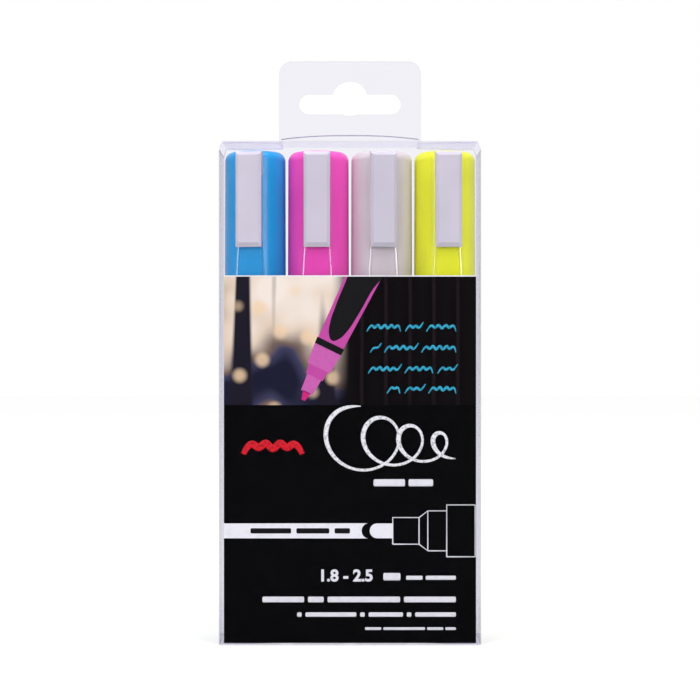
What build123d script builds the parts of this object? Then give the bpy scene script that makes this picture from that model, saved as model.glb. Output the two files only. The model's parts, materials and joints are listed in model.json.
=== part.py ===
"""Hang pack of four liquid chalk markers in a clear folded box.

Millimetres, +Z up, front towards -Y, origin at the middle of the pack's foot.
The markers stand nib up, caps on, clips to the front, each turned a little.
"""

import os

from build123d import *

os.makedirs("parts", exist_ok=True)

# ---------------------------------------------------------------- driving sizes

# The case, folded from one clear sheet.
SHEET = 0.3
FOLD_R = 0.45           # outside radius of the four upright folds
SEAM = 0.05             # air between pieces that lie on each other
LEAN = 0.75             # how far the box draws in at its top corners
LEAN_H = 2.4
FLAP_REACH = 17.8       # dust flaps, from the side wall inwards
FLAP_INSET = 1.05       # a dust flap is this much narrower than the case at each side
FLAP_TAPER = 2.2        # what a dust flap's free end loses at each side
FLAP_BEND_R = 0.6       # bend of a top dust flap
TUCK_H = 12.0           # bottom flap's tuck inside the back panel
LID_INSET = 0.85        # the lid is this much narrower at each side
LID_BEND_R = 3.0        # bend from the lid up into the tab's front ply

# The hang tab, two plies with the same slot.
TAB_W = 42.0
TAB_H = 25.6
TAB_CORNER_R = 4.0
TAB_NOTCH_W = 2.2       # relief in the lid beside the tab
SLOT_L = 30.1
SLOT_H = 6.05
SLOT_ABOVE_LID = 9.85   # underside of the slot above the lid
SLOT_BUMP_R = 5.2
SLOT_BUMP_UP = 1.7      # centre of the bump above the slot's middle

# The printed card behind the front panel.
CARD_AIR = 1.15         # from the card's edge to the side wall
CARD_H = 104.9
CARD_T = 0.35

# Markers in the case, with the angle each is turned to.
CAP_GAP = 0.55          # between neighbouring caps
SIDE_AIR = 0.7          # from an outer cap to the side wall
BACK_AIR = 0.2          # from the caps to the back panel
CLIP_AIR = 0.3          # from the clips to the card's plane
HEADROOM = 1.65         # from the caps to the top dust flaps
TURNED = {"blue": -9.0, "pink": -2.0, "white": 3.0, "yellow": 4.5}

# Barrel and tail plug.
FIT = 0.05              # clearance of pushed-in pieces
RUN = 0.08              # running clearance on the radius
BARREL_R = 7.6
BARREL_WALL = 1.0
BARREL_L = 84.5
PLUG_L = 6.0
PLUG_DISH_R = 4.6       # shallow dish in the plug, to press it home
PLUG_DISH_DEPTH = 1.2

# Front section that holds nib and valve.
SPIGOT_L = 12.0
SPIGOT_WALL = 1.9
GRIP_R = 6.95
GRIP_L = 11.1
SHOULDER_R = 5.6
SHOULDER_L = 5.6
CONE_L = 2.4
NOSE_R = 3.95
NOSE_TIP_R = 3.65
NOSE_L = 7.6
NIB_GUIDE_L = 11.7      # length of the narrow bore that guides the nib

# Bullet nib.
NIB_R = 2.2
NIB_OUT = 6.5
NIB_POINT_L = 3.4       # length of the tapered point
NIB_TIP_R = 1.15

# Pump valve behind the nib.
VALVE_L = 19.0
VALVE_WALL = 1.05
VALVE_FLOOR = 2.0
VALVE_HOLE_R = 1.25
VALVE_UP = 1.0          # valve body above the spigot's foot
STEM_R = 0.85
STEM_COLLAR_R = 3.0
STEM_COLLAR_T = 1.2
STEM_COLLAR_DOWN = 2.0  # top of the collar under the valve body's rim
STEM_HEAD_R = 2.1
STEM_HEAD_H = 1.4
SPRING_R = 2.35         # to the middle of the wire
SPRING_WIRE = 0.4       # side of the square wire
SPRING_TURNS = 3
BALL_D = 4.8

# Cap, with its clip and inner cap.
CAP_L = 56.45
CAP_LIP_R = 8.9
CAP_TOP_R = 8.8
CAP_STRAIGHT_L = 18.0   # from the lip to where the taper starts
CAP_EDGE_R = 2.6
CAP_TOP_T = 2.0
SCOOP_TOP = 47.0        # flat under the clip, heights above the lip
SCOOP_END = 13.5
SCOOP_TOP_R = 8.65      # the flat's distance from the cap's axis
SCOOP_END_R = 7.8
CLIP_W = 7.5
CLIP_DOWN = 0.5         # clip's top below the cap's top
CLIP_END = 28.55        # lower end of the clip above the lip
CLIP_FACE_R = 10.5      # from the cap's axis to the clip's face
CLIP_T = 1.2
CLIP_BEVEL_W = 0.85
CLIP_BEVEL_T = 0.6
CLIP_TOP_BEVEL = 1.1
CLIP_END_BEVEL = 1.3
CLIP_ROOT_H = 6.7
CLIP_TONGUE_W = 5.0
CLIP_TONGUE_H = 3.0
CLIP_TONGUE_L = 1.0     # how deep the tongue sits in the cap's wall
CLIP_BEAD_R = 0.45
INNER_L = 25.0
INNER_LIP_UP = 11.9     # inner cap's lip above the cap's lip
INNER_TOP_T = 1.5

# ---------------------------------------------------------------- worked out

# The case is folded round the row of markers.
pitch = 2 * CAP_LIP_R + CAP_GAP
wall_x = (len(TURNED) * pitch - CAP_GAP) / 2 + SIDE_AIR    # inner face of the side walls
wall_y = (BACK_AIR + CAP_LIP_R + CLIP_FACE_R + CLIP_AIR + CARD_T + SEAM) / 2
case_w = 2 * (wall_x + SHEET)
case_d = 2 * (wall_y + SHEET)
marker_y = wall_y - BACK_AIR - CAP_LIP_R
card_w = 2 * (wall_x - CARD_AIR)
sleeve_foot = SHEET + SEAM
floor_z = sleeve_foot + SHEET + SEAM    # what card and markers stand on
lip_z = floor_z + BARREL_L + SEAM       # caps' lips
flap_z = lip_z + CAP_L + HEADROOM       # underside of the top dust flaps
lid_z = flap_z + SHEET + SEAM           # underside of the lid
case_h = lid_z + SHEET
sleeve_top = lid_z - SEAM
tab_top = case_h + TAB_H
slot_z = case_h + SLOT_ABOVE_LID + SLOT_H / 2

# Heights along a marker, from its foot, and the radii that seat on each other.
barrel_bore_r = BARREL_R - BARREL_WALL
grip_top = BARREL_L + GRIP_L
shoulder_top = grip_top + SHOULDER_L
cone_top = shoulder_top + CONE_L
nose_top = cone_top + NOSE_L
nib_top = nose_top + NIB_OUT
spigot_foot = BARREL_L - SPIGOT_L
spigot_r = barrel_bore_r - FIT
chamber_r = spigot_r - SPIGOT_WALL
guide_foot = nose_top - NIB_GUIDE_L
valve_r = chamber_r - FIT
valve_foot = spigot_foot + VALVE_UP
valve_floor_z = valve_foot + VALVE_FLOOR
nib_foot = valve_foot + VALVE_L - STEM_COLLAR_DOWN
collar_foot = nib_foot - STEM_COLLAR_T
cap_bore_r = GRIP_R + RUN
inner_r = cap_bore_r - FIT


def half_outline(*points):
    """Half outline of a turned piece, from points of radius and height."""
    with BuildSketch(Plane.XZ) as outline:
        with BuildLine():
            Polyline(*points, close=True)
        make_face()
    return outline.sketch


# ---------------------------------------------------------------- marker body

with BuildPart() as barrel:
    with BuildSketch():
        Circle(BARREL_R)
        Circle(barrel_bore_r, mode=Mode.SUBTRACT)
    extrude(amount=BARREL_L)

with BuildPart() as tail_plug:
    revolve(half_outline(
        (0, PLUG_DISH_DEPTH),
        (PLUG_DISH_R, PLUG_DISH_DEPTH),
        (PLUG_DISH_R, 0),
        (spigot_r, 0),
        (spigot_r, PLUG_L),
        (0, PLUG_L),
    ), axis=Axis.Z)

# Stepped nozzle: spigot in the barrel, grip for the cap, shoulder, cone, nose.
with BuildPart() as front_section:
    revolve(half_outline(
        (chamber_r, spigot_foot),
        (spigot_r, spigot_foot),
        (spigot_r, BARREL_L),
        (GRIP_R, BARREL_L),
        (GRIP_R, grip_top),
        (SHOULDER_R, grip_top),
        (SHOULDER_R, shoulder_top),
        (NOSE_R, cone_top),
        (NOSE_TIP_R, nose_top),
        (NIB_R + RUN, nose_top),
        (NIB_R + RUN, guide_foot),
        (chamber_r, guide_foot),
    ), axis=Axis.Z)

with BuildPart() as valve_body:
    revolve(half_outline(
        (VALVE_HOLE_R, valve_foot),
        (valve_r, valve_foot),
        (valve_r, valve_foot + VALVE_L),
        (valve_r - VALVE_WALL, valve_foot + VALVE_L),
        (valve_r - VALVE_WALL, valve_floor_z),
        (VALVE_HOLE_R, valve_floor_z),
    ), axis=Axis.Z)

# ---------------------------------------------------------------- nib and valve

with BuildPart() as nib:
    revolve(half_outline(
        (0, nib_foot),
        (NIB_R, nib_foot),
        (NIB_R, nib_top - NIB_POINT_L),
        (NIB_TIP_R, nib_top),
        (0, nib_top),
    ), axis=Axis.Z)

# The head shuts the valve body's hole from below, the collar carries the nib.
with BuildPart() as valve_stem:
    head_top = valve_foot - SEAM
    revolve(half_outline(
        (0, head_top - STEM_HEAD_H),
        (STEM_R, head_top - STEM_HEAD_H),
        (STEM_HEAD_R, head_top),
        (STEM_R, head_top),
        (STEM_R, collar_foot),
        (STEM_COLLAR_R, collar_foot),
        (STEM_COLLAR_R, nib_foot),
        (0, nib_foot),
    ), axis=Axis.Z)

with BuildPart() as spring:
    with BuildLine() as coil:
        wire_half = SPRING_WIRE / 2
        spring_foot = valve_floor_z + SEAM + wire_half
        rise = collar_foot - SEAM - wire_half - spring_foot
        Helix(rise / SPRING_TURNS, rise, SPRING_R, center=(0, 0, spring_foot))
    with BuildSketch(Plane(coil.line @ 0, x_dir=(1, 0, 0), z_dir=coil.line % 0)):
        Rectangle(SPRING_WIRE, SPRING_WIRE)
    sweep(path=coil.line, is_frenet=True)

with BuildPart() as mixing_ball:
    with Locations((0, 0, PLUG_L + SEAM + BALL_D / 2)):
        Sphere(BALL_D / 2)

# ---------------------------------------------------------------- cap
# Its pieces are drawn from the cap's lip, which closes on the barrel's rim.

with BuildPart() as cap_blank:
    with BuildSketch(Plane.XZ):
        with BuildLine():
            Polyline((0, CAP_L), (0, 0), (CAP_LIP_R, 0), (CAP_LIP_R, CAP_STRAIGHT_L),
                     (CAP_TOP_R, CAP_L - CAP_EDGE_R))
            CenterArc((CAP_TOP_R - CAP_EDGE_R, CAP_L - CAP_EDGE_R), CAP_EDGE_R, 0, 90)
            Line((CAP_TOP_R - CAP_EDGE_R, CAP_L), (0, CAP_L))
        make_face()
    revolve(axis=Axis.Z)

clip_top = CAP_L - CLIP_DOWN
root_foot = clip_top - CLIP_ROOT_H
tongue_z = (clip_top + root_foot) / 2
tongue_tip_r = CAP_TOP_R - CLIP_TONGUE_L

with BuildPart() as cap:
    add(cap_blank.part)
    with BuildSketch():
        Circle(cap_bore_r)
    extrude(amount=CAP_L - CAP_TOP_T, mode=Mode.SUBTRACT)
    # Flat that deepens from under the clip towards the lip.
    with BuildSketch(Plane.YZ):
        with BuildLine():
            Polyline((-SCOOP_TOP_R, SCOOP_TOP), (-SCOOP_END_R, SCOOP_END),
                     (-2 * CAP_LIP_R, SCOOP_END), (-2 * CAP_LIP_R, SCOOP_TOP), close=True)
        make_face()
    extrude(amount=CAP_LIP_R, both=True, mode=Mode.SUBTRACT)
    # Pocket for the clip's tongue.
    with BuildSketch(Plane.XZ.offset(tongue_tip_r - FIT)):
        with Locations((0, tongue_z)):
            Rectangle(CLIP_TONGUE_W + 2 * FIT, CLIP_TONGUE_H + 2 * FIT)
    extrude(amount=CAP_LIP_R, mode=Mode.SUBTRACT)

with BuildPart() as clip:
    # Arm with its root, seen from the side, then the root shaped to the cap.
    with BuildSketch(Plane.YZ):
        with BuildLine():
            Polyline(
                (-CLIP_FACE_R, CLIP_END + CLIP_END_BEVEL),
                (-CLIP_FACE_R, clip_top - CLIP_TOP_BEVEL),
                (CLIP_TOP_BEVEL - CLIP_FACE_R, clip_top),
                (CAP_EDGE_R - CAP_TOP_R, clip_top),
                (CAP_EDGE_R - CAP_TOP_R, root_foot),
                (CLIP_T - CLIP_FACE_R, root_foot),
                (CLIP_T - CLIP_FACE_R, CLIP_END),
                (CLIP_BEVEL_T - CLIP_FACE_R, CLIP_END),
                close=True,
            )
        make_face()
    extrude(amount=CLIP_W / 2, both=True)
    add(offset(cap_blank.part, FIT, mode=Mode.PRIVATE), mode=Mode.SUBTRACT)
    # Tongue that snaps into the cap's pocket.
    with BuildSketch(Plane.XZ.offset(tongue_tip_r)):
        with Locations((0, tongue_z)):
            Rectangle(CLIP_TONGUE_W, CLIP_TONGUE_H)
    extrude(amount=CLIP_FACE_R - CLIP_T - tongue_tip_r)
    # Bevels along both long edges of the face.
    with BuildSketch(Plane.XY.offset(CLIP_END)):
        for side in (-1, 1):
            with BuildLine():
                Polyline((side * CLIP_W / 2, -CLIP_FACE_R), (side * CLIP_W / 2, CLIP_BEVEL_T - CLIP_FACE_R),
                         (side * (CLIP_W / 2 - CLIP_BEVEL_W), -CLIP_FACE_R), close=True)
            make_face()
    extrude(amount=CAP_L, mode=Mode.SUBTRACT)
    # Bead that grips a pocket's edge.
    with BuildSketch(Plane.YZ):
        with Locations((CLIP_T - CLIP_FACE_R, CLIP_END + 2 * CLIP_BEAD_R)):
            Circle(CLIP_BEAD_R)
    extrude(amount=CLIP_W / 2 - CLIP_BEVEL_W, both=True)

with BuildPart() as inner_cap:
    revolve(half_outline(
        (SHOULDER_R + RUN, INNER_LIP_UP),
        (inner_r, INNER_LIP_UP),
        (inner_r, INNER_LIP_UP + INNER_L),
        (0, INNER_LIP_UP + INNER_L),
        (0, INNER_LIP_UP + INNER_L - INNER_TOP_T),
        (SHOULDER_R + RUN, INNER_LIP_UP + INNER_L - INNER_TOP_T),
    ), axis=Axis.Z)

# ---------------------------------------------------------------- place markers

body_pieces = {
    "barrel": barrel, "tail_plug": tail_plug, "front_section": front_section,
    "valve_body": valve_body, "nib": nib, "valve_stem": valve_stem,
    "spring": spring, "mixing_ball": mixing_ball,
}
cap_pieces = {"cap": cap, "clip": clip, "inner_cap": inner_cap}


def place(colour, name, shape, spot):
    """Write one marker piece, moved and turned to its spot in the case."""
    with BuildPart() as placed:
        with Locations(spot):
            add(shape.part)
    placed.part.label = f"{colour}_{name}"
    export_step(placed.part, f"parts/{placed.part.label}.step")


for number, (colour, angle) in enumerate(TURNED.items()):
    marker_x = (number - (len(TURNED) - 1) / 2) * pitch
    foot = Location((marker_x, marker_y, floor_z), (0, 0, angle))
    lip = Location((marker_x, marker_y, lip_z), (0, 0, angle))
    for name, shape in body_pieces.items():
        place(colour, name, shape, foot)
    for name, shape in cap_pieces.items():
        place(colour, name, shape, lip)

# ---------------------------------------------------------------- case

ply_y = wall_y - SEAM                   # rear face of the tab's front ply and of the tuck
side_cut_z = sleeve_top - LEAN_H
flap_w = case_d - 2 * FLAP_INSET
lid_w = case_w - 2 * LID_INSET


def hang_slot():
    """Outline of the hook slot, a round-ended bar with a bump in its middle."""
    with BuildSketch(Plane.XZ) as slot:
        with Locations((0, slot_z)):
            SlotOverall(SLOT_L, SLOT_H)
        with Locations((0, slot_z + SLOT_BUMP_UP)):
            Circle(SLOT_BUMP_R)
    return slot.sketch


def bent_sheet(*points, radius):
    """Section of bent sheet, with its thickness to the left of the line."""
    with BuildLine() as line:
        FilletPolyline(*points, radius=radius)
        offset(amount=SHEET, side=Side.LEFT)
    return make_face(line.line.edges())


# Four walls, with the back panel running up into the tab's rear ply.
with BuildPart() as case_sleeve:
    with BuildSketch(Plane.XY.offset(sleeve_foot)):
        RectangleRounded(case_w, case_d, FOLD_R)
        RectangleRounded(case_w - 2 * SHEET, case_d - 2 * SHEET, FOLD_R - SHEET, mode=Mode.SUBTRACT)
    extrude(amount=sleeve_top - sleeve_foot)
    # The sides end lower, where the dust flaps lean in.
    for side in (-1, 1):
        with BuildSketch(Plane.XY.offset(side_cut_z)):
            with Locations((side * case_w / 2, 0)):
                Rectangle(2 * FOLD_R, case_d - 2 * FOLD_R)
        extrude(amount=LEAN_H, mode=Mode.SUBTRACT)
        with BuildSketch(Plane.XZ):
            with BuildLine():
                Polyline((side * case_w / 2, side_cut_z), (side * case_w / 2, sleeve_top),
                         (side * (case_w / 2 - LEAN), sleeve_top), close=True)
            make_face()
        extrude(amount=case_d, both=True, mode=Mode.SUBTRACT)
    with BuildSketch(Plane.XZ.offset(-case_d / 2)) as rear_ply:
        with Locations((0, (tab_top + sleeve_top - FOLD_R) / 2)):
            Rectangle(TAB_W, tab_top - sleeve_top + FOLD_R)
        fillet(rear_ply.vertices().group_by(Axis.Y)[-1], TAB_CORNER_R)
    extrude(amount=SHEET)
    extrude(hang_slot(), amount=case_d, both=True, mode=Mode.SUBTRACT)

# Lid, creased at the front, with a middle that bends up into the front ply.
with BuildPart() as lid:
    with BuildSketch(Plane.XY.offset(lid_z)):
        with Locations((0, (ply_y - case_d / 2) / 2)):
            Rectangle(lid_w, ply_y + case_d / 2)
        bend_y = ply_y - SHEET - LID_BEND_R
        with Locations((0, (ply_y + bend_y) / 2)):
            Rectangle(TAB_W + 2 * TAB_NOTCH_W, ply_y - bend_y, mode=Mode.SUBTRACT)
    extrude(amount=SHEET)
    with BuildSketch(Plane.YZ):
        bent_sheet((bend_y - 2 * SHEET, lid_z), (ply_y, lid_z), (ply_y, tab_top),
                   radius=LID_BEND_R + SHEET)
    extrude(amount=TAB_W / 2, both=True)
    fillet(lid.edges().filter_by(Axis.Y).group_by(Axis.Z)[-1], TAB_CORNER_R)
    extrude(hang_slot(), amount=case_d, both=True, mode=Mode.SUBTRACT)

# Dust flaps, bent in from the side walls and narrower at the free end.
flap_end_x = case_w / 2 - FLAP_REACH


def taper_flap(bottom):
    """Cut a right-hand flap's free end narrower at both sides."""
    for side in (-1, 1):
        with BuildSketch(Plane.XY.offset(bottom)) as corner:
            with BuildLine():
                Polyline((case_w / 2 - FLAP_REACH / 2, side * flap_w / 2),
                         (flap_end_x, side * flap_w / 2),
                         (flap_end_x, side * (flap_w / 2 - FLAP_TAPER)), close=True)
            make_face()
        extrude(corner.sketch, amount=SHEET, mode=Mode.SUBTRACT)


with BuildPart() as top_flap_right:
    with BuildSketch(Plane.XZ):
        bent_sheet((flap_end_x, flap_z), (case_w / 2 - LEAN - SHEET, flap_z),
                   (case_w / 2 - SHEET, side_cut_z + SEAM), radius=FLAP_BEND_R)
    extrude(amount=flap_w / 2, both=True)
    taper_flap(flap_z)

# Bottom flap with a tuck inside the back panel, under its own dust flaps.
with BuildPart() as bottom_flap:
    with BuildSketch(Plane.YZ):
        bent_sheet((-case_d / 2, 0), (ply_y, 0), (ply_y, TUCK_H), radius=2 * SHEET)
    extrude(amount=lid_w / 2, both=True)
    fillet(bottom_flap.edges().filter_by(Axis.Y).group_by(Axis.Z)[-1], TAB_CORNER_R)

with BuildPart() as bottom_dust_right:
    with BuildSketch(Plane.XY.offset(sleeve_foot)):
        with Locations(((flap_end_x + wall_x) / 2, 0)):
            Rectangle(wall_x - flap_end_x, flap_w)
    extrude(amount=SHEET)
    taper_flap(sleeve_foot)

with BuildPart() as top_flap_left:
    mirror(top_flap_right.part, about=Plane.YZ)
with BuildPart() as bottom_dust_left:
    mirror(bottom_dust_right.part, about=Plane.YZ)

with BuildPart() as card:
    with BuildSketch(Plane.XY.offset(floor_z)):
        with Locations((0, CARD_T / 2 - ply_y)):
            Rectangle(card_w, CARD_T)
    extrude(amount=CARD_H)

case_pieces = {
    "case_sleeve": case_sleeve, "lid": lid, "top_flap_left": top_flap_left,
    "top_flap_right": top_flap_right, "bottom_flap": bottom_flap,
    "bottom_dust_left": bottom_dust_left, "bottom_dust_right": bottom_dust_right,
    "card": card,
}
for name, shape in case_pieces.items():
    shape.part.label = name
    export_step(shape.part, f"parts/{name}.step")
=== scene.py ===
"""Looks for a hang pack of four liquid chalk markers: finishes, card print and studio."""

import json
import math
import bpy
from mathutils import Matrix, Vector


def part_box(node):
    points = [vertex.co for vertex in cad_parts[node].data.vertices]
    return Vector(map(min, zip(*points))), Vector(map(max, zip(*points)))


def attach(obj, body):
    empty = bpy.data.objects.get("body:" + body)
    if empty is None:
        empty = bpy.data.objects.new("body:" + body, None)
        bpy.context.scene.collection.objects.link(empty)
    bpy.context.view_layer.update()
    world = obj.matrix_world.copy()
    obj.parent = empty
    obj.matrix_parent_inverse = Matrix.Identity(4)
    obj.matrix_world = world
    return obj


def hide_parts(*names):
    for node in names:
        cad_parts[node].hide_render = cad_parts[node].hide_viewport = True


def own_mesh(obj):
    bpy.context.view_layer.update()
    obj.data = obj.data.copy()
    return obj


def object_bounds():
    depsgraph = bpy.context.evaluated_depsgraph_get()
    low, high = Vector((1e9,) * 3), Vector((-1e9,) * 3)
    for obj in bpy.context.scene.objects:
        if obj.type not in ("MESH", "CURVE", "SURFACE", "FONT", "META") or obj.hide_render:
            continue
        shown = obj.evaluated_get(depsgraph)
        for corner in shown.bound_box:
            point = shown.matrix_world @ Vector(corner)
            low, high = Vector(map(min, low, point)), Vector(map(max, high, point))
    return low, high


bl_info = {
    "name": "Chalk Marker Pack",
    "version": (1, 0, 0),
    "blender": (4, 5, 0),
    "location": "View3D > Sidebar > Marker Pack",
    "description": "Finishes, card print and studio for a hang pack of chalk markers",
    "category": "Object",
}

import bmesh
import bpy
from mathutils import Matrix, Vector

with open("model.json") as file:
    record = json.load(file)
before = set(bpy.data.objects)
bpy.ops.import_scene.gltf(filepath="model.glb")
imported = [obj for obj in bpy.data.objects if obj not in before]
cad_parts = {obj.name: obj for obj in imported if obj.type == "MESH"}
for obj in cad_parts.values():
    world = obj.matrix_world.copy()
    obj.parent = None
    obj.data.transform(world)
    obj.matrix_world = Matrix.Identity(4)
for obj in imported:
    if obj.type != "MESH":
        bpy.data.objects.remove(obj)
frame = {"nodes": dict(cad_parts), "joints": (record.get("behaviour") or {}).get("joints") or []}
bpy.context.view_layer.update()
cad_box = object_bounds()

MM = 0.001
COLOURS = ("blue", "pink", "white", "yellow")
SHEET = 0.3 * MM                                        # thickness of the folded sheet
LID_FOOT, LID_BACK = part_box("lid")[0].z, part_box("lid")[1].y
CARD_LOW, CARD_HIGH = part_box("card")
PANEL_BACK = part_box("case_sleeve")[0].y + SHEET         # inner face of the front panel
PRINT_STEP = (CARD_LOW.y - PANEL_BACK) / 6              # depth between layers of print
FIRST, SECOND, THIRD = 1, 2, 3                          # layers of print, from the board
BORDER = 0.35 * MM                                      # white strip along the card's top
BLACK_INK = (0.004, 0.004, 0.005)
PLASTIC_IOR = 1.49
MOSTLY, HALF, HARDLY = 0.9, 0.5, 0.1                    # how far a face looks along an axis


# ---------------------------------------------------------------- settings

class SheetSettings(bpy.types.PropertyGroup):
    """The clear folded sheet."""

    tint: bpy.props.FloatVectorProperty(
        name="Tint", description="What a face lets through, seen straight on",
        subtype="COLOR", min=0, max=1, default=(0.972, 0.970, 0.984))
    grazing_tint: bpy.props.FloatVectorProperty(
        name="Grazing tint", description="What a face of a flap lets through, seen along it",
        subtype="COLOR", min=0, max=1, default=(0.95, 0.945, 0.975))
    wall_tint: bpy.props.FloatVectorProperty(
        name="Wall tint", description="What a face of a wall lets through, seen along it",
        subtype="COLOR", min=0, max=1, default=(0.70, 0.70, 0.735))
    edge_colour: bpy.props.FloatVectorProperty(
        name="Cut edge", description="Colour of the sheet's cut edges",
        subtype="COLOR", min=0, max=1, default=(0.62, 0.61, 0.74))
    # Near black for the lid's back cut edges: painted shade for the dark line along the lid's rear
    # edge.
    lid_edge_colour: bpy.props.FloatVectorProperty(
        name="Lid's cut edge", description="Colour of the level cut edges at the lid's back",
        subtype="COLOR", min=0, max=1, default=(0.05, 0.05, 0.14))
    gloss: bpy.props.FloatProperty(
        name="Gloss", description="What a face reflects, seen straight on",
        min=0, max=1, default=0.0015)
    grazing_gloss: bpy.props.FloatProperty(
        name="Grazing gloss", description="What a face reflects, seen along the sheet",
        min=0, max=1, default=0.32)


class MarkerSettings(bpy.types.PropertyGroup):
    """Colours of the markers' plastics and ink."""

    blue: bpy.props.FloatVectorProperty(
        name="Blue", description="Blue marker", subtype="COLOR", min=0, max=1,
        default=(0.004, 0.30, 0.66))
    pink: bpy.props.FloatVectorProperty(
        name="Pink", description="Pink marker", subtype="COLOR", min=0, max=1,
        default=(0.84, 0.075, 0.46))
    white: bpy.props.FloatVectorProperty(
        name="White", description="White marker", subtype="COLOR", min=0, max=1,
        default=(0.64, 0.58, 0.60))
    yellow: bpy.props.FloatVectorProperty(
        name="Yellow", description="Yellow marker", subtype="COLOR", min=0, max=1,
        default=(0.80, 0.83, 0.03))
    clip: bpy.props.FloatVectorProperty(
        name="Clip", description="Clips of all markers", subtype="COLOR", min=0, max=1,
        default=(0.60, 0.565, 0.63))
    roughness: bpy.props.FloatProperty(
        name="Roughness", description="Roughness of the moulded plastic",
        min=0, max=1, default=0.22)


class PrintSettings(bpy.types.PropertyGroup):
    """Places of the card's print: heights above the foot, and the right margin."""

    picture_foot: bpy.props.FloatProperty(
        name="Picture foot", description="Lower edge of the picture", unit="LENGTH",
        default=68.6 * MM)
    flourish_z: bpy.props.FloatProperty(
        name="Flourish", description="Middle of the chalk flourish", unit="LENGTH",
        default=58.5 * MM)
    tip_z: bpy.props.FloatProperty(
        name="Tip", description="Middle of the drawn bullet tip", unit="LENGTH",
        default=32.7 * MM)
    numbers_z: bpy.props.FloatProperty(
        name="Numbers", description="Foot of the line width's numbers", unit="LENGTH",
        default=18.4 * MM)
    right_margin: bpy.props.FloatProperty(
        name="Right margin", description="Where the rows end, right of the middle", unit="LENGTH",
        default=30.2 * MM)


class StudioSettings(bpy.types.PropertyGroup):
    """Camera and light."""

    lens: bpy.props.FloatProperty(
        name="Lens", description="Focal length in millimetres", default=100.1)
    distance: bpy.props.FloatProperty(
        name="Distance", description="Camera to the pack's front", unit="LENGTH",
        default=0.555)
    height: bpy.props.FloatProperty(
        name="Height", description="Camera above the floor", unit="LENGTH",
        default=84.3 * MM)
    key_power: bpy.props.FloatProperty(
        name="Key", description="Power of each front softbox in watts", default=4.6)
    fill_strength: bpy.props.FloatProperty(
        name="Fill", description="Strength of the light from all round", default=0.44)


# ---------------------------------------------------------------- shared tools

def add_node(tree, kind, inputs=None, **settings):
    """Add a shader node. An input given as a socket is linked, any other is set."""
    node = tree.nodes.new("ShaderNode" + kind)
    for name, value in settings.items():
        setattr(node, name, value)
    for name, value in (inputs or {}).items():
        if isinstance(value, bpy.types.NodeSocket):
            tree.links.new(value, node.inputs[name])
        else:
            node.inputs[name].default_value = value
    return node


def math_node(tree, operation, first, second=0.0):
    """Result of one sum on two sockets or numbers."""
    return add_node(tree, "Math", {0: first, 1: second}, operation=operation).outputs[0]


def over(tree, value, limit):
    """One where a value is over a limit, and zero elsewhere."""
    return math_node(tree, "GREATER_THAN", value, limit)


def under(tree, value, limit):
    """One where a value is under a limit, and zero elsewhere."""
    return math_node(tree, "LESS_THAN", value, limit)


def coordinates_of(tree):
    """A point's place on its piece and the way it faces, as sockets Object and Normal."""
    return add_node(tree, "TexCoord").outputs


def axes(tree, vector):
    """A vector's parts, as sockets X, Y and Z."""
    return add_node(tree, "SeparateXYZ", {"Vector": vector}).outputs


def noise(tree, place, scale, detail, distortion=0.0):
    """Soft random pattern between 0 and 1."""
    return add_node(tree, "TexNoise", {"Vector": place, "Scale": scale, "Detail": detail,
                                       "Distortion": distortion}).outputs["Fac"]


def relief(tree, height, strength, distance, normal=None):
    """Bump that a pattern raises, on a given normal or on the surface's own."""
    inputs = {"Height": height, "Strength": strength, "Distance": distance}
    if normal:
        inputs["Normal"] = normal
    return add_node(tree, "Bump", inputs).outputs["Normal"]


def mapped(tree, value, start, end, low=0.0, high=1.0, smooth=False):
    """A value taken from the range start to end into the range low to high."""
    return add_node(tree, "MapRange", {"Value": value, "From Min": start, "From Max": end,
                                       "To Min": low, "To Max": high},
                    interpolation_type="SMOOTHSTEP" if smooth else "LINEAR").outputs[0]


def mixed(tree, factor, first, second):
    """Colour from the first to the second, by a factor."""
    return add_node(tree, "Mix", {"Factor": factor, "A": first, "B": second},
                    data_type="RGBA").outputs[2]


def blended(tree, factor, first, second):
    """Shader from the first to the second, by a factor."""
    return add_node(tree, "MixShader", {0: factor, 1: first.outputs[0], 2: second.outputs[0]})


def new_material(name):
    """A material with an empty tree, and its tree."""
    material = bpy.data.materials.new(name)
    material.use_nodes = True
    material.node_tree.nodes.clear()
    return material, material.node_tree


def covered(material, shader):
    """Give a material its shader as the last step."""
    add_node(material.node_tree, "OutputMaterial", {"Surface": shader.outputs[0]})
    return material


def ramp_node(tree, factor, stops):
    """Colour ramp with (place, colour) stops."""
    stops = list(stops)
    node = add_node(tree, "ValToRGB", {"Fac": factor})
    ramp = node.color_ramp
    while len(ramp.elements) < len(stops):
        ramp.elements.new(0.5)
    for element, (place, colour) in zip(ramp.elements, stops):
        element.position = place
        element.color = (*colour, 1)
    return node.outputs["Color"]


def toned(tree, factor, colour, dark, pale, places=(0.3, 0.7)):
    """A colour that goes from its darker to its paler shade as the factor rises."""
    shades = [tuple(min(1, part * shade) for part in colour) for shade in (dark, pale)]
    return ramp_node(tree, factor, zip(places, shades))


def joint(name):
    """One of the part's joints."""
    return next(each for each in frame["joints"] if each["name"] == name)


def turned(colour):
    """Angle that a marker stands turned to, from the middle of its joint's range."""
    return -math.radians(sum(joint(colour + "_turn")["range_deg"]) / 2)


def foot_of(node):
    """Middle of a node's lower end."""
    low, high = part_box(node)
    return (low.x + high.x) / 2, (low.y + high.y) / 2, low.z


def dress(material, *nodes):
    """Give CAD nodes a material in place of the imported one."""
    for node in nodes:
        frame["nodes"][node].material_slots[0].material = material


def new_object(name, data):
    """Add an object to the scene."""
    added = bpy.data.objects.new(name, data)
    bpy.context.scene.collection.objects.link(added)
    return added


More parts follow.
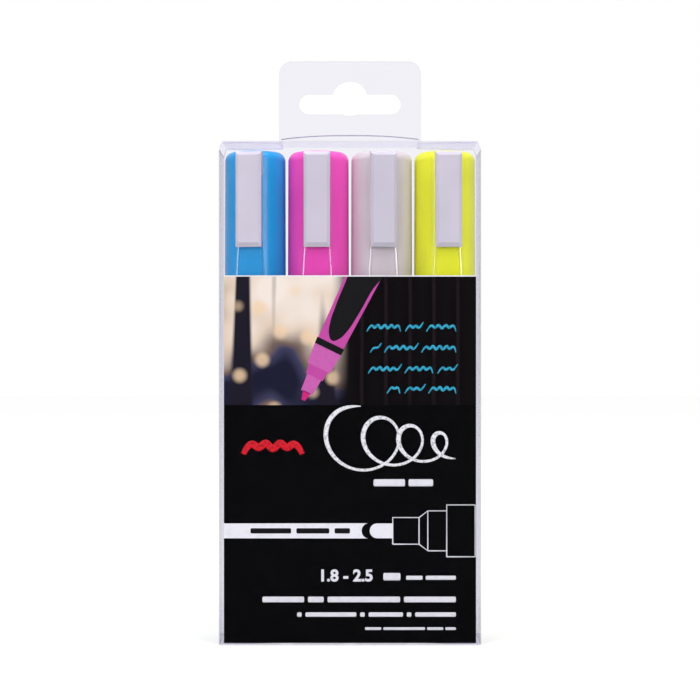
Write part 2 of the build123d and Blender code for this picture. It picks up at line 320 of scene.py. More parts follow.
def skin(name, sections):
    """Closed mesh through sections, each a ring of as many points."""
    mesh = bmesh.new()
    ring = [mesh.verts.new(point) for point in sections[0]]
    edges = [mesh.edges.new((ring[n - 1], ring[n])) for n in range(len(ring))]
    for here, there in zip(sections, sections[1:]):
        grown = bmesh.ops.extrude_edge_only(mesh, edges=edges)["geom"]
        fresh = {part for part in grown if isinstance(part, bmesh.types.BMVert)}
        edges = [part for part in grown if isinstance(part, bmesh.types.BMEdge)
                 and set(part.verts) <= fresh]
        for vertex in fresh:
            nearest = min(range(len(here)), key=lambda k: (vertex.co - Vector(here[k])).length)
            vertex.co = there[nearest]
    bmesh.ops.holes_fill(mesh, edges=mesh.edges, sides=len(ring))
    bmesh.ops.recalc_face_normals(mesh, faces=mesh.faces)
    data = bpy.data.meshes.new(name)
    mesh.to_mesh(data)
    mesh.free()
    return data


# ---------------------------------------------------------------- finishes

def upright_cut(tree, coordinates):
    """Faces that look up or down, and every cut face of the hang tab."""
    tab_start = LID_FOOT + 1.5 * MM
    normal = axes(tree, coordinates["Normal"])
    level = over(tree, math_node(tree, "ABSOLUTE", normal["Z"]), MOSTLY)
    on_tab = over(tree, axes(tree, coordinates["Object"])["Z"], tab_start)
    thin = under(tree, math_node(tree, "ABSOLUTE", normal["Y"]), HALF)
    return math_node(tree, "MAXIMUM", level, math_node(tree, "MULTIPLY", on_tab, thin))


def level_cut(tree, coordinates):
    """Faces that look sideways."""
    normal = axes(tree, coordinates["Normal"])
    return under(tree, math_node(tree, "ABSOLUTE", normal["Z"]), HARDLY)


def end_cut(tree, coordinates):
    """Faces at the left and right ends."""
    normal = axes(tree, coordinates["Normal"])
    return over(tree, math_node(tree, "ABSOLUTE", normal["X"]), HALF)


def lid_cut(tree, coordinates):
    """Cut faces at the back of the lid's level part, below the hang tab, which take a dark colour as
    painted shade.
    """
    level_top = LID_FOOT + 0.35 * MM
    backward = over(tree, axes(tree, coordinates["Normal"])["Y"], HALF)
    low = under(tree, axes(tree, coordinates["Object"])["Z"], level_top)
    return math_node(tree, "MULTIPLY", backward, low)


def clear_sheet(name, settings, is_edge, edge_colour, grazing_tint, grazing_gloss):
    """Clear plastic sheet: see-through, paler or darker by angle, glossy, with tinted cut edges."""
    clear_faces, edge_share = 5.5, 0.9
    material, tree = new_material(name)
    coordinates = coordinates_of(tree)
    waves = relief(tree, noise(tree, coordinates["Object"], 38.0, 1.0), 0.35, 1.2 * MM)
    facing = add_node(tree, "LayerWeight", {"Blend": 0.5, "Normal": waves}).outputs["Facing"]
    reflected = math_node(tree, "MAXIMUM", math_node(tree, "POWER", facing, 5.0), settings.gloss)
    reflected = math_node(tree, "MINIMUM", reflected, grazing_gloss)
    tint = mixed(tree, facing, (*settings.tint, 1), (*grazing_tint, 1))
    # The same light goes on as refraction behind many faces, where plain clearness ends.
    clear = add_node(tree, "BsdfTransparent", {"Color": tint})
    clear_deep = add_node(tree, "BsdfRefraction", {"Color": tint, "IOR": 1.0, "Roughness": 0.0})
    depth = add_node(tree, "LightPath").outputs["Transparent Depth"]
    through = blended(tree, over(tree, depth, clear_faces), clear, clear_deep)
    gloss = add_node(tree, "BsdfPrincipled", {
        "Base Color": (0.93, 0.93, 0.97, 1), "Metallic": 1.0, "Roughness": 0.05,
        "Normal": waves})
    surface = blended(tree, reflected, through, gloss)
    edge = add_node(tree, "BsdfPrincipled", {"Base Color": (*edge_colour, 1), "Roughness": 0.35})
    share = math_node(tree, "MULTIPLY", is_edge(tree, coordinates), edge_share)
    return covered(material, blended(tree, share, surface, edge))


def moulded_plastic(name, colour, roughness, translucence=0.0, edge_round=0.35 * MM, polish=0.0):
    """Moulded plastic with faint flow shades, orange peel, softened edges and a polish."""
    material, tree = new_material(name)
    place = coordinates_of(tree)["Object"]
    flow = noise(tree, place, 55.0, 2.0, distortion=0.6)
    softened = None
    if edge_round:
        softened = add_node(tree, "Bevel", {"Radius": edge_round}, samples=4).outputs[0]
    peel = relief(tree, noise(tree, place, 900.0, 1.0), 0.12, 0.04 * MM, softened)
    return covered(material, add_node(tree, "BsdfPrincipled", {
        "Base Color": toned(tree, flow, colour, 0.95, 1.04), "Roughness": roughness,
        "IOR": PLASTIC_IOR, "Coat Weight": polish, "Coat Roughness": 0.08, "Coat IOR": 1.8,
        "Subsurface Weight": translucence, "Subsurface Radius": (1.0, 0.9, 0.8),
        "Subsurface Scale": 2.5 * MM, "Normal": peel}))


def barrel_print(name, colour, foot, turn, roughness):
    """Ink-coloured barrel, printed black in a panel that comes to a point, with a black ring."""
    panel_tip, panel_bend = 75.0 * MM, 21.0 * MM
    ring_foot, ring_top = 79.6 * MM, 83.3 * MM
    material, tree = new_material(name)
    place = coordinates_of(tree)["Object"]
    upright = add_node(tree, "Mapping", {"Vector": place, "Location": foot,
                                         "Rotation": (0, 0, turn)}, vector_type="TEXTURE")
    local = axes(tree, upright.outputs[0])
    angle = math_node(tree, "ARCTAN2", local["X"], math_node(tree, "MULTIPLY", local["Y"], -1.0))
    angle = math_node(tree, "ABSOLUTE", angle)
    drop = math_node(tree, "MULTIPLY", math_node(tree, "POWER", angle, 2.0), panel_bend)
    panel = under(tree, math_node(tree, "ADD", local["Z"], drop), panel_tip)
    ring = math_node(tree, "MULTIPLY", over(tree, local["Z"], ring_foot),
                     under(tree, local["Z"], ring_top))
    ink = toned(tree, noise(tree, place, 70.0, 2.0), colour, 0.95, 1.04)
    both = mixed(tree, math_node(tree, "MAXIMUM", panel, ring), ink, (0.006, 0.006, 0.007, 1))
    return covered(material, add_node(tree, "BsdfPrincipled", {
        "Base Color": both, "Roughness": roughness, "IOR": PLASTIC_IOR}))


def ink_fibre(name, colour):
    """Porous nib: fibres along its length, soaked with ink."""
    material, tree = new_material(name)
    along = add_node(tree, "Mapping", {"Vector": coordinates_of(tree)["Object"],
                                       "Scale": (1, 1, 0.06)})
    fibre = noise(tree, along.outputs[0], 5200.0, 3.0)
    return covered(material, add_node(tree, "BsdfPrincipled", {
        "Base Color": toned(tree, fibre, colour, 0.7, 1.1), "Roughness": 0.75,
        "Normal": relief(tree, fibre, 0.5, 0.08 * MM)}))


def drawn_steel(name):
    """Bright steel of spring and mixing ball, with fine draw marks."""
    material, tree = new_material(name)
    marks = noise(tree, coordinates_of(tree)["Object"], 2600.0, 3.0)
    return covered(material, add_node(tree, "BsdfPrincipled", {
        "Base Color": (0.62, 0.62, 0.64, 1), "Metallic": 1.0,
        "Roughness": mapped(tree, marks, 0, 1, 0.16, 0.34)}))


def coated_board(name):
    """Board of the card, coated black in front, pale at its cut edge and back."""
    material, tree = new_material(name)
    coordinates = coordinates_of(tree)
    pulp = noise(tree, coordinates["Object"], 420.0, 4.0)
    black = ramp_node(tree, pulp, ((0.3, (0.0016, 0.0016, 0.0020)),
                                   (0.75, (0.0030, 0.0030, 0.0036))))
    uncoated = over(tree, axes(tree, coordinates["Normal"])["Y"], -HALF)
    return covered(material, add_node(tree, "BsdfPrincipled", {
        "Base Color": mixed(tree, uncoated, black, (0.62, 0.60, 0.57, 1)), "Roughness": 0.38,
        "Specular IOR Level": 0.06, "Normal": relief(tree, pulp, 0.1, 0.03 * MM)}))


def print_ink(name, colour, chalky=False):
    """Flat printed ink, or with the grain of chalk on a board."""
    scale, dark = (1500.0, 0.55) if chalky else (500.0, 0.93)
    material, tree = new_material(name)
    grain = noise(tree, coordinates_of(tree)["Object"], scale, 4.0)
    return covered(material, add_node(tree, "BsdfPrincipled", {
        "Base Color": toned(tree, grain, colour, dark, 1.0, places=(0.36, 0.52)),
        "Roughness": 0.45, "Specular IOR Level": 0.25}))


def blurred_street(name):
    """Picture of a street, far out of focus: warm patches at the left, dark wood at the right."""
    dusk_foot, wall_top = 70 * MM, 103 * MM
    wood_start, wood_full = -6 * MM, 0
    material, tree = new_material(name)
    place = coordinates_of(tree)["Object"]
    parts = axes(tree, place)
    # Pale wall above, dusk below, with soft blotches of both.
    rise = mapped(tree, parts["Z"], dusk_foot, wall_top, -0.20, 0.24)
    lit = math_node(tree, "ADD", noise(tree, place, 62.0, 1.2), rise)
    wall = ramp_node(tree, lit, (
        (0.30, (0.010, 0.011, 0.030)), (0.42, (0.050, 0.050, 0.105)), (0.49, (0.19, 0.13, 0.10)),
        (0.57, (0.42, 0.34, 0.27)), (0.68, (0.76, 0.62, 0.47)), (0.84, (0.90, 0.80, 0.68))))
    # Dark posts and doorways, soft at their sides.
    doors = add_node(tree, "Mapping", {"Vector": place, "Scale": (150, 1, 9)})
    clear = mapped(tree, noise(tree, doors.outputs[0], 1.0, 0.6), 0.36, 0.45, smooth=True)
    street = mixed(tree, clear, (0.012, 0.010, 0.020, 1), wall)
    # Lamps as soft round lights.
    lamps = add_node(tree, "TexVoronoi", {"Vector": place, "Scale": 105.0, "Randomness": 1.0})
    glow = mapped(tree, lamps.outputs["Distance"], 0.10, 0.30, 0.7, 0.0, smooth=True)
    warm = mixed(tree, glow, street, (0.90, 0.66, 0.40, 1))
    # Upright boards of dark wood.
    boards = add_node(tree, "TexWave", {"Vector": place, "Scale": 46.0, "Distortion": 0.4,
                                        "Detail": 1.0}, bands_direction="X")
    wood = ramp_node(tree, boards.outputs["Fac"], (
        (0.0, (0.0035, 0.0020, 0.0026)), (0.9, (0.0016, 0.0009, 0.0013)),
        (1.0, (0.012, 0.007, 0.009))))
    side = mapped(tree, parts["X"], wood_start, wood_full, smooth=True)
    return covered(material, add_node(tree, "BsdfPrincipled", {
        "Base Color": mixed(tree, side, warm, wood), "Roughness": 0.4,
        "Specular IOR Level": 0.12}))


# ---------------------------------------------------------------- print shapes

def depth_of(layer):
    """Where a layer of print lies, from front to back."""
    return CARD_LOW.y - layer * PRINT_STEP


def lay_on_card(drawn, layer, material, size=(1, 1), start=(0, 0)):
    """Turn a drawing into a mesh on the card's front, in its layer of print."""
    bpy.context.view_layer.update()
    mesh = bpy.data.meshes.new_from_object(drawn)
    name = drawn.name
    bpy.data.objects.remove(drawn)
    mesh.transform(Matrix.Diagonal((*size, 1, 1)))
    mesh.transform(Matrix.Rotation(math.radians(90), 4, "X"))
    mesh.transform(Matrix.Translation((start[0], depth_of(layer), start[1])))
    mesh.materials.clear()
    mesh.materials.append(material)
    piece = new_object(name, mesh)
    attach(piece, "case")
    return piece


def drawing(name, fill):
    """An empty flat drawing, in x and height."""
    curve = bpy.data.curves.new(name, "CURVE")
    curve.dimensions = "2D" if fill else "3D"
    curve.fill_mode = "BOTH" if fill else "FULL"
    curve.resolution_u = 8
    return new_object(name, curve)


def filled(outline, points, round_corners=False):
    """Add a closed filled shape to a drawing."""
    spline = outline.data.splines.new("BEZIER")
    spline.bezier_points.add(len(points) - 1)
    for knot, (x, z) in zip(spline.bezier_points, points):
        knot.co = (x, z, 0)
        knot.handle_left_type = knot.handle_right_type = "AUTO" if round_corners else "VECTOR"
    spline.use_cyclic_u = True


def stroke(outline, points, smooth=True, taper=0.35, press=None):
    """Add a pen stroke to a drawing, thinner at both ends by taper, wider where pressed."""
    spline = outline.data.splines.new("NURBS" if smooth else "POLY")
    spline.points.add(len(points) - 1)
    last = len(points) - 1
    for number, (knot, (x, z)) in enumerate(zip(spline.points, points)):
        knot.co = (x, z, 0, 1)
        knot.radius = taper if taper and number in (0, last) else 1
        if press:
            knot.radius *= press[number]
    if smooth:
        spline.order_u = min(4, len(points))
        spline.use_endpoint_u = True


def patch(name, points, layer, material, round_corners=False):
    """A filled flat shape on the card."""
    shape = drawing(name, fill=True)
    filled(shape, points, round_corners)
    return lay_on_card(shape, layer, material)


def inked(outline, width, layer, material):
    """Finish a drawing of strokes as flat ink on the card, pressed into its layer's depth."""
    outline.data.bevel_depth = width / 2
    outline.data.bevel_resolution = 2
    outline.data.use_fill_caps = True
    piece = lay_on_card(outline, layer, material)
    middle, half_film = depth_of(layer), 0.4 * PRINT_STEP
    depth = max(abs(vertex.co.y - middle) for vertex in piece.data.vertices)
    piece.data.transform(
        Matrix.Translation((0, middle, 0)) @ Matrix.Scale(half_film / depth, 4, (0, 1, 0))
        @ Matrix.Translation((0, -middle, 0)))
    return piece


def arc(centre, radius, start, end, steps=8):
    """Points along an arc, between two angles in degrees."""
    angles = [math.radians(start + (end - start) * n / steps) for n in range(steps + 1)]
    return [(centre[0] + radius * math.cos(angle), centre[1] + radius * math.sin(angle))
            for angle in angles]


def words_to(right, lengths, gap):
    """Start and length of each word in a row that ends at the right, from right to left."""
    x = right
    for length in reversed(lengths):
        x -= length * MM
        yield x, length * MM
        x -= gap


def wavy_words(outline, right, foot, lengths):
    """Row of quick wavy lines, one for each word's length in millimetres."""
    gap, period, height, slant = 1.4 * MM, 2.0 * MM, 2.7 * MM, 0.2
    for start, length in words_to(right, lengths, gap):
        turns = max(2, round(2 * length / period))
        stroke(outline, [(start + length * n / turns + slant * (n % 2) * height,
                          foot + height * (n % 2)) for n in range(turns + 1)])


def word_bars(outline, right, foot, lengths, gap):
    """Row of bars with softened ends, one for each word's length in millimetres."""
    end = 0.2 * MM
    for start, length in words_to(right, lengths, gap):
        stroke(outline, [(start, foot), (start + end, foot), (start + length - end, foot),
                         (start + length, foot)], smooth=False, taper=0.6)


# ---------------------------------------------------------------- operators

class MARKERPACK_OT_case(bpy.types.Operator):
    """Clear sheet on the folded case"""

    bl_idname = "markerpack.case"
    bl_label = "Clear Case"

    def execute(self, context):
        settings = context.scene.marker_sheet
        shiny, dull = settings.grazing_gloss, settings.grazing_gloss / 3
        for name, is_edge, edge_colour, grazing_tint, gloss, nodes in (
                ("sleeve_sheet", upright_cut, settings.edge_colour, settings.wall_tint, shiny,
                 ("case_sleeve",)),
                # The lid's back cut edges take the dark painted shade.
                ("lid_sheet", lid_cut, settings.lid_edge_colour, settings.grazing_tint, shiny,
                 ("lid",)),
                ("flap_sheet", level_cut, settings.edge_colour, settings.grazing_tint, dull,
                 ("top_flap_left", "top_flap_right", "bottom_dust_left", "bottom_dust_right")),
                ("tuck_sheet", end_cut, settings.edge_colour, settings.grazing_tint, dull,
                 ("bottom_flap",))):
            dress(clear_sheet(name, settings, is_edge, edge_colour, grazing_tint, gloss), *nodes)
        self.tab_crease()
        return {"FINISHED"}

    def tab_crease(self):
        """A dark lilac strip of painted shade along the crease that bows across the foot of the hang
        tab's front ply.
        """
        low, rise, bow = 146.5 * MM, 1.15 * MM, 2.5      # height at its ends, and how it bows
        reach, height, depth = 20.3 * MM, 0.32 * MM, 0.03 * MM
        ply_front, stations = LID_BACK - SHEET, 24
        corners = ((ply_front, -height / 2), (ply_front, height / 2),
                   (ply_front - depth, height / 2), (ply_front - depth, -height / 2))
        sections = []
        for n in range(stations + 1):
            share = 2 * n / stations - 1
            middle = low + rise * (1 - abs(share) ** bow)
            sections.append([(share * reach, y, middle + z) for y, z in corners])
        crease = new_object("tab_crease", skin("tab_crease", sections))
        # Lilac ink laid along the crease as painted shade, where the bent sheet looks dark.
        crease.data.materials.append(print_ink("crease_shade", (0.27, 0.26, 0.36)))
        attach(crease, "lid")


class MARKERPACK_OT_caps(bpy.types.Operator):
    """Plastics of caps, clips and inner caps"""

    bl_idname = "markerpack.caps"
    bl_label = "Caps and Clips"

    def execute(self, context):
        settings = context.scene.marker_colours
        clip = moulded_plastic("clip_satin", settings.clip, roughness=0.42, edge_round=0.2 * MM)
        seal = moulded_plastic("seal_plastic_soft", (0.80, 0.80, 0.79), roughness=0.5,
                               translucence=0.3)
        for colour in COLOURS:
            cap = moulded_plastic(colour + "_cap_gloss", getattr(settings, colour),
                                  settings.roughness,
                                  translucence=0.35 if colour == "white" else 0.12)
            dress(cap, colour + "_cap", colour + "_front_section", colour + "_tail_plug")
            dress(clip, colour + "_clip")
            dress(seal, colour + "_inner_cap")
        return {"FINISHED"}


class MARKERPACK_OT_scoop_edges(bpy.types.Operator):
    """Rounded edges along both sides of each cap's front flat"""

    bl_idname = "markerpack.scoop_edges"
    bl_label = "Cap Edges"

    def execute(self, context):
        settings = context.scene.marker_colours
        for colour in COLOURS:
            material = moulded_plastic(colour + "_edge_gloss", getattr(settings, colour),
                                       roughness=0.1, edge_round=None, polish=1.0)
            low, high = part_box(colour + "_cap")
            place = (Matrix.Translation(foot_of(colour + "_cap"))
                     @ Matrix.Rotation(turned(colour), 4, "Z"))
            for side, tag in ((-1, "left"), (1, "right")):
                name = f"{colour}_edge_{tag}"
                piece = new_object(name, self.edge(name, side, (high.x - low.x) / 2))
                piece.data.transform(place)
                piece.data.materials.append(material)
                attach(piece, colour + "_cap_group")
        return {"FINISHED"}

    def edge(self, name, side, cap_radius):
        """Slender rounding from the flat to the cap's round side, in its own cap's frame."""
        foot, top = 13.55 * MM, 46.9 * MM            # ends above the cap's lip
        flat_foot, flat_top = 7.80 * MM, 8.65 * MM   # flat's distance from the axis
        taper_foot, taper = 18.0 * MM, 0.1 / 35.85   # where the cap starts to narrow, how much
        radius, proud = 1.8 * MM, 0.05 * MM
        stations, steps = 12, 6

        def section(height):
            """Points across the rounding, from the flat to the round side."""
            outer = cap_radius - max(0, height - taper_foot) * taper + proud
            flat = flat_foot + (flat_top - flat_foot) * (height - foot) / (top - foot) + proud
            middle_y = flat - radius
            middle_x = math.sqrt((outer - radius) ** 2 - middle_y ** 2)
            reach = math.atan2(middle_x, middle_y)
            return [(side * (middle_x + radius * math.sin(reach * n / steps)),
                     -(middle_y + radius * math.cos(reach * n / steps)), height)
                    for n in range(steps + 1)]

        data = skin(name, [section(foot + (top - foot) * n / stations)
                           for n in range(stations + 1)])
        for face in data.polygons:
            face.use_smooth = face.normal.y < 0 and abs(face.normal.z) < HALF
        return data


class MARKERPACK_OT_barrels(bpy.types.Operator):
    """Printed barrels"""

    bl_idname = "markerpack.barrels"
    bl_label = "Barrels"

    def execute(self, context):
        settings = context.scene.marker_colours
        for colour in COLOURS:
            node = colour + "_barrel"
            dress(barrel_print(node + "_print", getattr(settings, colour), foot_of(node),
                               turned(colour), settings.roughness), node)
        return {"FINISHED"}


class MARKERPACK_OT_insides(bpy.types.Operator):
    """Nibs, valves, springs and mixing balls"""

    bl_idname = "markerpack.insides"
    bl_label = "Nibs and Valves"

    def execute(self, context):
        settings = context.scene.marker_colours
        valve = moulded_plastic("valve_natural", (0.76, 0.76, 0.73), roughness=0.4,
                                translucence=0.2)
        steel = drawn_steel("bright_steel")
        for colour in COLOURS:
            dress(ink_fibre(colour + "_nib_fibre", getattr(settings, colour)), colour + "_nib")
            dress(valve, colour + "_valve_body", colour + "_valve_stem")
            dress(steel, colour + "_mixing_ball")
            self.coil(colour, steel)
        return {"FINISHED"}

    def coil(self, colour, steel):
        """The valve spring as a steel copy that rides on the marker, in place of the CAD spring."""
        node = colour + "_spring"
        data = frame["nodes"][node].data.copy()
        data.name = node + "_coil"
        data.materials.clear()
        data.materials.append(steel)
        coil = new_object(node + "_coil", data)
        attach(coil, colour + "_marker")
        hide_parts(node)
        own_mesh(coil)


class MARKERPACK_OT_picture(bpy.types.Operator):
    """Board and picture of the card, with a plain marker in it"""

    bl_idname = "markerpack.picture"
    bl_label = "Card Picture"

    def execute(self, context):
        picture_foot = context.scene.marker_print.picture_foot
        picture_top = CARD_HIGH.z - BORDER
        dress(coated_board("black_board"), "card")
        for name, foot, top, material in (
                ("card_picture", picture_foot, picture_top, blurred_street("street_print")),
                ("card_border", picture_top, CARD_HIGH.z,
                 print_ink("border_white", (0.85, 0.85, 0.84)))):
            patch(name, [(CARD_LOW.x, foot), (CARD_HIGH.x, foot), (CARD_HIGH.x, top),
                         (CARD_LOW.x, top)], FIRST, material)
        pink, pale_pink, red = (0.56, 0.07, 0.36), (0.60, 0.12, 0.42), (0.62, 0.012, 0.20)
        for name, colour, stations in (
                ("drawn_nib", red, ((0, 0.55), (2.6, 1.2))),
                ("drawn_nose", pale_pink, ((2.4, 1.8), (7.3, 2.2))),
                ("drawn_shoulder", pink, ((7.3, 2.65), (10.2, 2.95))),
                ("drawn_grip", pale_pink, ((10.2, 3.6), (16.2, 4.1))),
                ("drawn_ring", BLACK_INK, ((16.2, 4.15), (18.1, 4.25))),
                ("drawn_barrel", pink, ((18.1, 4.0), (46.0, 5.1)))):
            self.seen_from_side(name, stations, colour, SECOND)
        self.seen_from_side("drawn_wrap", ((18.9, 0.0), (20.2, 1.6), (23.0, 2.7), (28.0, 3.4),
                                           (36.0, 3.9), (46.0, 4.3)), BLACK_INK, THIRD,
                            round_corners=True)
        return {"FINISHED"}

    def seen_from_side(self, name, stations, colour, layer, round_corners=False):
        """Part of the drawn marker, ended by the card's top. Stations are places along its axis
        from the nib's tip and half widths, in millimetres."""
        nib_tip, lean = Vector((-13.4, 70.0)) * MM, math.radians(64)
        along = Vector((math.cos(lean), math.sin(lean)))
        across = Vector((-along.y, along.x))
        half = [nib_tip + along * place * MM + across * width * MM for place, width in stations]
        other = [nib_tip + along * place * MM - across * width * MM
                 for place, width in reversed(stations) if width]
        piece = patch(name, half + other, layer, print_ink(name + "_ink", colour), round_corners)
        mesh = bmesh.new()
        mesh.from_mesh(piece.data)
        bmesh.ops.bisect_plane(mesh, geom=mesh.verts[:] + mesh.edges[:] + mesh.faces[:],
                               plane_co=(0, 0, CARD_HIGH.z - BORDER), plane_no=(0, 0, 1),
                               clear_outer=True)
        mesh.to_mesh(piece.data)
        mesh.free()


class MARKERPACK_OT_chalk(bpy.types.Operator):
    """Chalk strokes printed on the card"""

    bl_idname = "markerpack.chalk"
    bl_label = "Card Chalk Strokes"

    def execute(self, context):
        settings = context.scene.marker_print
        self.rows(settings.right_margin)
        self.flourish(settings.flourish_z)
        self.scribble()
        return {"FINISHED"}

    def rows(self, right):
        """Four rows of quick wavy lines beside the drawn marker."""
        rows = drawing("chalk_rows", fill=False)
        for foot, lengths in ((89.6, (9.6, 4.6, 8.4)), (83.6, (2.6, 9.2, 9.8)),
                              (77.6, (9.0, 8.0, 5.2)), (71.9, (3.6, 5.4, 7.8))):
            wavy_words(rows, right, foot * MM, lengths)
        inked(rows, 0.72 * MM, SECOND, print_ink("cyan_chalk", (0.035, 0.42, 0.60), chalky=True))

    def flourish(self, middle):
        """Curling line, whose loops get smaller."""
        turns, steps, first_angle = 3.6, 14, math.radians(70)
        start, run, fall = -0.5 * MM, 30.5 * MM, 2.0 * MM
        points, press = [], []
        for n in range(int(turns * steps) + 1):
            share = n / (turns * steps)
            angle = first_angle + 2 * math.pi * turns * share
            size = (10.4 - 7.2 * share ** 0.7) * MM
            points.append((start + run * share + size * math.cos(angle),
                           middle - fall * share + size * math.sin(angle)))
            press.append(1.0 + 0.75 * max(0.0, -math.cos(angle + 0.5)))
        flourish = drawing("chalk_flourish", fill=False)
        stroke(flourish, points, taper=0.3, press=press)
        inked(flourish, 0.8 * MM, FIRST, print_ink("white_chalk", (0.88, 0.88, 0.88), chalky=True))

    def scribble(self):
        """Short scribble at the left."""
        start, step, foot, height, turns = -30.4, 2.1, 54.6, 4.6, 9
        scribble = drawing("chalk_scribble", fill=False)
        stroke(scribble, [((start + step * n) * MM, (foot + height * (n % 2)) * MM)
                          for n in range(turns)], taper=0.7)
        inked(scribble, 2.2 * MM, FIRST, print_ink("red_chalk", (0.72, 0.006, 0.02), chalky=True))


class MARKERPACK_OT_tip(bpy.types.Operator):
    """Line drawing of a bullet tip with the line that it writes"""

    bl_idname = "markerpack.tip"
    bl_label = "Card Tip Drawing"

    def execute(self, context):
        middle = context.scene.marker_print.tip_z
        half, line_end = 2.12 * MM, 3.6 * MM
        nib_start, nib_end = 5.6 * MM, 12.2 * MM
        white = print_ink("white_print", (0.86, 0.86, 0.88))

        # The line ends in a hollow, and the nib in a round tip.
        patch("drawn_line", [(CARD_LOW.x, middle + half), (CARD_LOW.x, middle - half)]
              + arc((line_end + half * 0.9, middle), half * 1.05, 258, 102), FIRST, white)
        patch("drawn_bullet", [(nib_end, middle - half), (nib_end, middle + half)]
              + arc((nib_start + half, middle), half, 92, 268), FIRST, white)

        # Outlines of nose, cone, grip and barrel: ends along x, and half heights.
        outline = drawing("drawn_nozzle", fill=False)
        for start, start_half, end, end_half in ((12.2, 3.8, 19.7, 3.8), (19.7, 3.8, 22.2, 5.7),
                                                 (22.2, 5.7, 27.6, 5.7), (27.6, 7.4, 35.7, 7.4)):
            corners = [(start, -start_half), (start, start_half), (end, end_half), (end, -end_half),
                       (start, -start_half)]
            stroke(outline, [(x * MM, middle + z * MM) for x, z in corners], smooth=False, taper=0)
        inked(outline, 0.34 * MM, FIRST, white)
        return {"FINISHED"}


class MARKERPACK_OT_rows(bpy.types.Operator):
    """Numbers of the line width and the small print's rows"""

    bl_idname = "markerpack.rows"
    bl_label = "Card Rows"

    def execute(self, context):
        settings = context.scene.marker_print
        white = print_ink("white_rows", (0.80, 0.80, 0.82))

        text = bpy.data.curves.new("line_width_numbers", "FONT")
        text.body = "1.8 - 2.5"
        text.offset = 0.035                          # makes the figures bolder
        lay_on_card(new_object("line_width_numbers", text), FIRST, white,
                    size=(4.7 * MM, 4.6 * MM), start=(-9.0 * MM, settings.numbers_z))

        edge = settings.right_margin / MM
        for name, foot, width, lengths, gap, end in (
                ("rows_name", 46.4, 2.1, (9.0, 7.0), 1.0, edge - 6.5),
                ("rows_size", 19.6, 2.2, (4.9,), 0, edge - 15.8),
                ("rows_unit", 19.3, 1.2, (4.7, 8.6), 0.9, edge),
                ("rows_thick", 13.1, 1.7, (11.9, 4.5, 20.7, 14.8), 1.1, edge),
                ("rows_middle", 8.8, 1.3, (1.3, 14.5, 1.3, 9.8, 1.3, 11.6), 1.1, edge),
                ("rows_thin", 4.8, 0.8, (4.6, 11.9, 4.6, 3.0), 0.6, edge)):
            row = drawing(name, fill=False)
            word_bars(row, end * MM, foot * MM, lengths, gap * MM)
            inked(row, width * MM, FIRST, white)

        # Black bars on the drawn line, which end at the middle.
        band = drawing("rows_band", fill=False)
        word_bars(band, 0, settings.tip_z, (11.6, 9.4, 4.4), 1.5 * MM)
        inked(band, 1.5 * MM, SECOND, print_ink("black_rows", BLACK_INK))
        return {"FINISHED"}


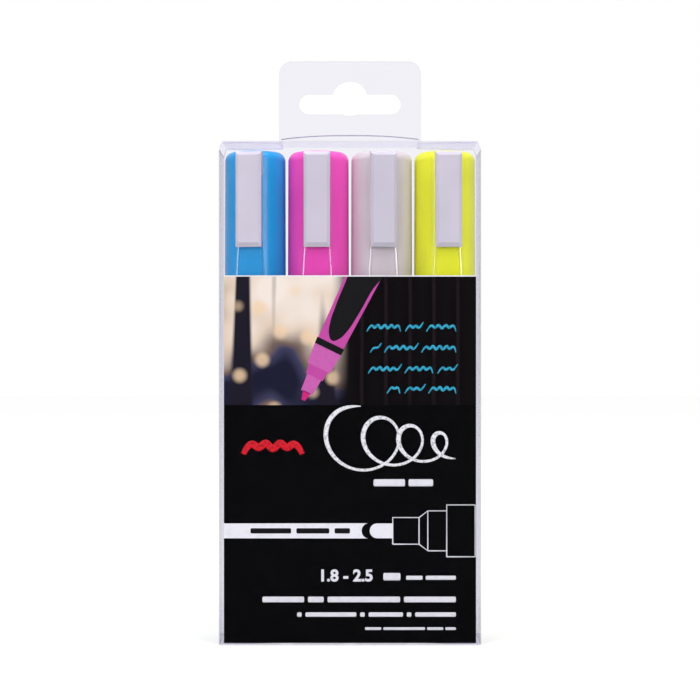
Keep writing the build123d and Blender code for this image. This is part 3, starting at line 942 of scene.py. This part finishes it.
class MARKERPACK_OT_studio(bpy.types.Operator):
    """Pale floor, soft light and the camera"""

    bl_idname = "markerpack.studio"
    bl_label = "Studio"

    def execute(self, context):
        settings = context.scene.marker_studio
        self.camera(context.scene, settings)
        self.floor()
        self.softboxes(settings.key_power)
        self.world(context.scene, settings.fill_strength)
        context.scene.view_settings.view_transform = "Standard"
        return {"FINISHED"}

    def camera(self, scene, settings):
        """Camera, level and straight on."""
        camera = new_object("camera", bpy.data.cameras.new("camera"))
        camera.data.lens = settings.lens
        camera.data.sensor_width = 36
        camera.data.clip_start = 0.01
        camera.location = (0, cad_box[0].y - settings.distance, settings.height)
        camera.rotation_euler = (math.radians(90), 0, 0)
        scene.camera = camera

    def floor(self):
        """Floor that looks pale, with the pack's shadow."""
        mesh = bmesh.new()
        bmesh.ops.create_grid(mesh, x_segments=1, y_segments=1, size=3)
        data = bpy.data.meshes.new("floor")
        mesh.to_mesh(data)
        mesh.free()
        data.materials.append(self.pale_floor())
        new_object("floor", data)

    def pale_floor(self):
        """Grey paint that glows where it is seen, less near the pack, and dark in mirror images
        of the floor in front."""
        near, distant = 0.2, 0.9                     # metres from the pack's middle
        near_glow, distant_glow = 0.46, 0.64
        material, tree = new_material("pale_floor")
        rays = add_node(tree, "LightPath").outputs
        place = coordinates_of(tree)["Object"]
        ahead = under(tree, axes(tree, place)["Y"], cad_box[0].y)
        shaded = math_node(tree, "MULTIPLY", ahead, rays["Is Glossy Ray"])
        mirrored = math_node(tree, "SUBTRACT", rays["Is Glossy Ray"], shaded)
        straight = math_node(tree, "MAXIMUM", rays["Is Camera Ray"], rays["Is Transmission Ray"])
        seen = math_node(tree, "MAXIMUM", mirrored, straight)
        reach = add_node(tree, "VectorMath", {0: place}, operation="LENGTH").outputs["Value"]
        far = mapped(tree, reach, near, distant, near_glow, distant_glow)
        glow = add_node(tree, "Emission", {"Color": (1, 1, 1, 1),
                                           "Strength": math_node(tree, "MULTIPLY", seen, far)})
        paint = mixed(tree, shaded, (0.5, 0.5, 0.5, 1), (0.10, 0.10, 0.10, 1))
        matt = add_node(tree, "BsdfDiffuse", {"Color": paint})
        return covered(material, add_node(tree, "AddShader", {0: glow.outputs[0],
                                                              1: matt.outputs[0]}))

    def softboxes(self, key_power):
        """Softboxes at both sides of the camera, and one above, aimed at the pack."""
        target = Vector((0, 0, 0.08))
        for name, place, size, power in (
                ("key_left", (-0.60, -0.82, 0.30), (0.36, 0.8), key_power),
                ("key_right", (0.60, -0.82, 0.26), (0.36, 0.8), key_power),
                ("top", (0, -0.25, 0.90), (0.9, 0.6), key_power * 1.5)):
            lamp = bpy.data.lights.new(name, "AREA")
            lamp.shape = "RECTANGLE"
            lamp.size, lamp.size_y = size
            lamp.energy = power
            holder = new_object(name, lamp)
            holder.location = place
            holder.rotation_euler = (target - holder.location).to_track_quat("-Z", "Y").to_euler()

    def world(self, scene, fill_strength):
        """White behind the pack, and a plain pale light that is dim behind the camera."""
        world = bpy.data.worlds.new("studio")
        world.use_nodes = True
        scene.world = world
        tree = world.node_tree
        tree.nodes.clear()
        direction = axes(tree, add_node(tree, "TexCoord").outputs["Generated"])
        wrap = mapped(tree, direction["Y"], -0.97, -0.25, 0.04, 1.0)
        overhead = mapped(tree, direction["Z"], -1.0, 1.0, 0.2 * fill_strength, 1.8 * fill_strength)
        rays = add_node(tree, "LightPath").outputs
        straight = math_node(tree, "MAXIMUM", rays["Is Camera Ray"], rays["Is Transmission Ray"])
        fill = add_node(tree, "Background", {"Color": (1, 1, 1, 1), "Strength": overhead})
        gloss = add_node(tree, "Background", {"Color": (0.97, 0.97, 1, 1), "Strength": wrap})
        plain = add_node(tree, "Background", {"Color": (1, 1, 1, 1), "Strength": 1.0})
        lit = blended(tree, rays["Is Glossy Ray"], fill, gloss)
        shown = blended(tree, straight, lit, plain)
        add_node(tree, "OutputWorld", {"Surface": shown.outputs[0]})


class MARKERPACK_PT_panel(bpy.types.Panel):
    """Makes the pack's pieces, one button each"""

    bl_label = "Marker Pack"
    bl_space_type = "VIEW_3D"
    bl_region_type = "UI"
    bl_category = "Marker Pack"

    def draw(self, context):
        for operator in OPERATORS:
            self.layout.operator(operator.bl_idname)
        for name, group in SETTINGS.items():
            box = self.layout.box()
            for key in group.__annotations__:
                box.prop(getattr(context.scene, name), key)


OPERATORS = (MARKERPACK_OT_case, MARKERPACK_OT_caps, MARKERPACK_OT_scoop_edges,
             MARKERPACK_OT_barrels, MARKERPACK_OT_insides, MARKERPACK_OT_picture, MARKERPACK_OT_chalk,
             MARKERPACK_OT_tip, MARKERPACK_OT_rows, MARKERPACK_OT_studio)
SETTINGS = {"marker_sheet": SheetSettings, "marker_colours": MarkerSettings,
            "marker_print": PrintSettings, "marker_studio": StudioSettings}


def register():
    for group in SETTINGS.values():
        bpy.utils.register_class(group)
    for name, group in SETTINGS.items():
        setattr(bpy.types.Scene, name, bpy.props.PointerProperty(type=group))
    for operator in OPERATORS:
        bpy.utils.register_class(operator)
    bpy.utils.register_class(MARKERPACK_PT_panel)


def unregister():
    bpy.utils.unregister_class(MARKERPACK_PT_panel)
    for operator in reversed(OPERATORS):
        bpy.utils.unregister_class(operator)
    for name, group in reversed(SETTINGS.items()):
        delattr(bpy.types.Scene, name)
        bpy.utils.unregister_class(group)


def main():
    register()
    for operator in OPERATORS:
        group, action = operator.bl_idname.split(".")
        getattr(getattr(bpy.ops, group), action)()
    bpy.context.view_layer.update()


if __name__ == "__main__":
    main()
